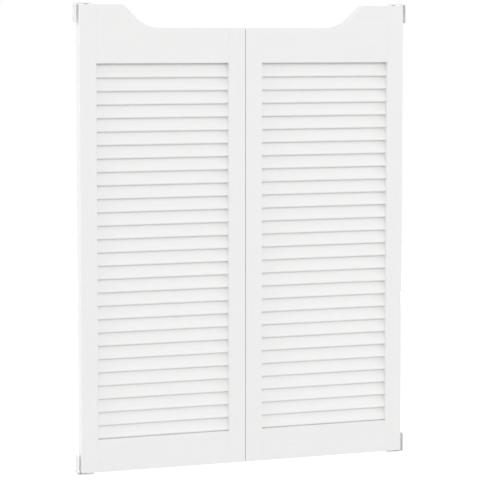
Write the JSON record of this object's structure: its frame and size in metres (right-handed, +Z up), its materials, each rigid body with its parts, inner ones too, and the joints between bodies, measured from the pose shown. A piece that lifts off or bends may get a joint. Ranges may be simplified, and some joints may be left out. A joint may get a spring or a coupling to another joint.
{
  "type": "cafe swinging doors",
  "caption": "Pair of white louvred cafe doors with raised, scooped outer ears; each leaf swings both ways on concealed spring pivots.",
  "frame": {"origin": "middle of the opening, half way through the leaves, level with the underside of the foot brackets", "axes": "+X across the opening to the right, +Y from the front (the side where the slats slope down towards the viewer) to the back, +Z up"},
  "size_m": [0.8128, 0.028, 1.076],
  "materials": {
    "painted_stile": "satin white paint",
    "painted_rail": "satin white paint",
    "painted_slat": "satin white paint",
    "dowel_wood": "bare beech",
    "coated_steel": "white powder coat",
    "plated_steel": "zinc plated",
    "bright_steel": "turned",
    "spring_wire": "drawn wire",
    "nylon": "natural nylon"
  },
  "bodies": {
    "jamb_hardware": {"left_foot_bracket": "coated_steel", "left_foot_pin": "bright_steel", "left_head_bracket": "coated_steel", "left_spring_shaft": "bright_steel", "left_torsion_spring": "spring_wire", "right_foot_bracket": "coated_steel", "right_foot_pin": "bright_steel", "right_head_bracket": "coated_steel", "right_spring_shaft": "bright_steel", "right_torsion_spring": "spring_wire"},
    "left_leaf": {"left_bottom_rail": "painted_rail", "left_foot_bush": "nylon", "left_foot_plate": "plated_steel", "left_frame_dowels": "dowel_wood", "left_head_plate": "plated_steel", "left_hinge_stile": "painted_stile", "left_meeting_stile": "painted_stile", "left_plate_screws": "plated_steel", "left_slats_01_02": "painted_slat", "left_slats_03_04": "painted_slat", "left_slats_05_06": "painted_slat", "left_slats_07_08": "painted_slat", "left_slats_09_10": "painted_slat", "left_slats_11_12": "painted_slat", "left_slats_13_14": "painted_slat", "left_slats_15_16": "painted_slat", "left_slats_17_18": "painted_slat", "left_slats_19_20": "painted_slat", "left_slats_21_22": "painted_slat", "left_slats_23_24": "painted_slat", "left_slats_25_26": "painted_slat", "left_slats_27_28": "painted_slat", "left_spring_tube": "plated_steel", "left_top_rail": "painted_rail"},
    "right_leaf": {"right_bottom_rail": "painted_rail", "right_foot_bush": "nylon", "right_foot_plate": "plated_steel", "right_frame_dowels": "dowel_wood", "right_head_plate": "plated_steel", "right_hinge_stile": "painted_stile", "right_meeting_stile": "painted_stile", "right_plate_screws": "plated_steel", "right_slats_01_02": "painted_slat", "right_slats_03_04": "painted_slat", "right_slats_05_06": "painted_slat", "right_slats_07_08": "painted_slat", "right_slats_09_10": "painted_slat", "right_slats_11_12": "painted_slat", "right_slats_13_14": "painted_slat", "right_slats_15_16": "painted_slat", "right_slats_17_18": "painted_slat", "right_slats_19_20": "painted_slat", "right_slats_21_22": "painted_slat", "right_slats_23_24": "painted_slat", "right_slats_25_26": "painted_slat", "right_slats_27_28": "painted_slat", "right_spring_tube": "plated_steel", "right_top_rail": "painted_rail"}
  },
  "joints": [
    {"name": "left_leaf_swing", "type": "hinge", "parent": "jamb_hardware", "child": "left_leaf", "pos_m": [-0.377, 0, 0.0045], "axis": [0, 0, 1], "range_deg": [-90, 90], "stiffness_Nm_per_rad": 1.2, "deforming": ["left_torsion_spring"]},
    {"name": "right_leaf_swing", "type": "hinge", "parent": "jamb_hardware", "child": "right_leaf", "pos_m": [0.377, 0, 0.0045], "axis": [0, 0, 1], "range_deg": [-90, 90], "stiffness_Nm_per_rad": 1.2, "deforming": ["right_torsion_spring"]}
  ]
}
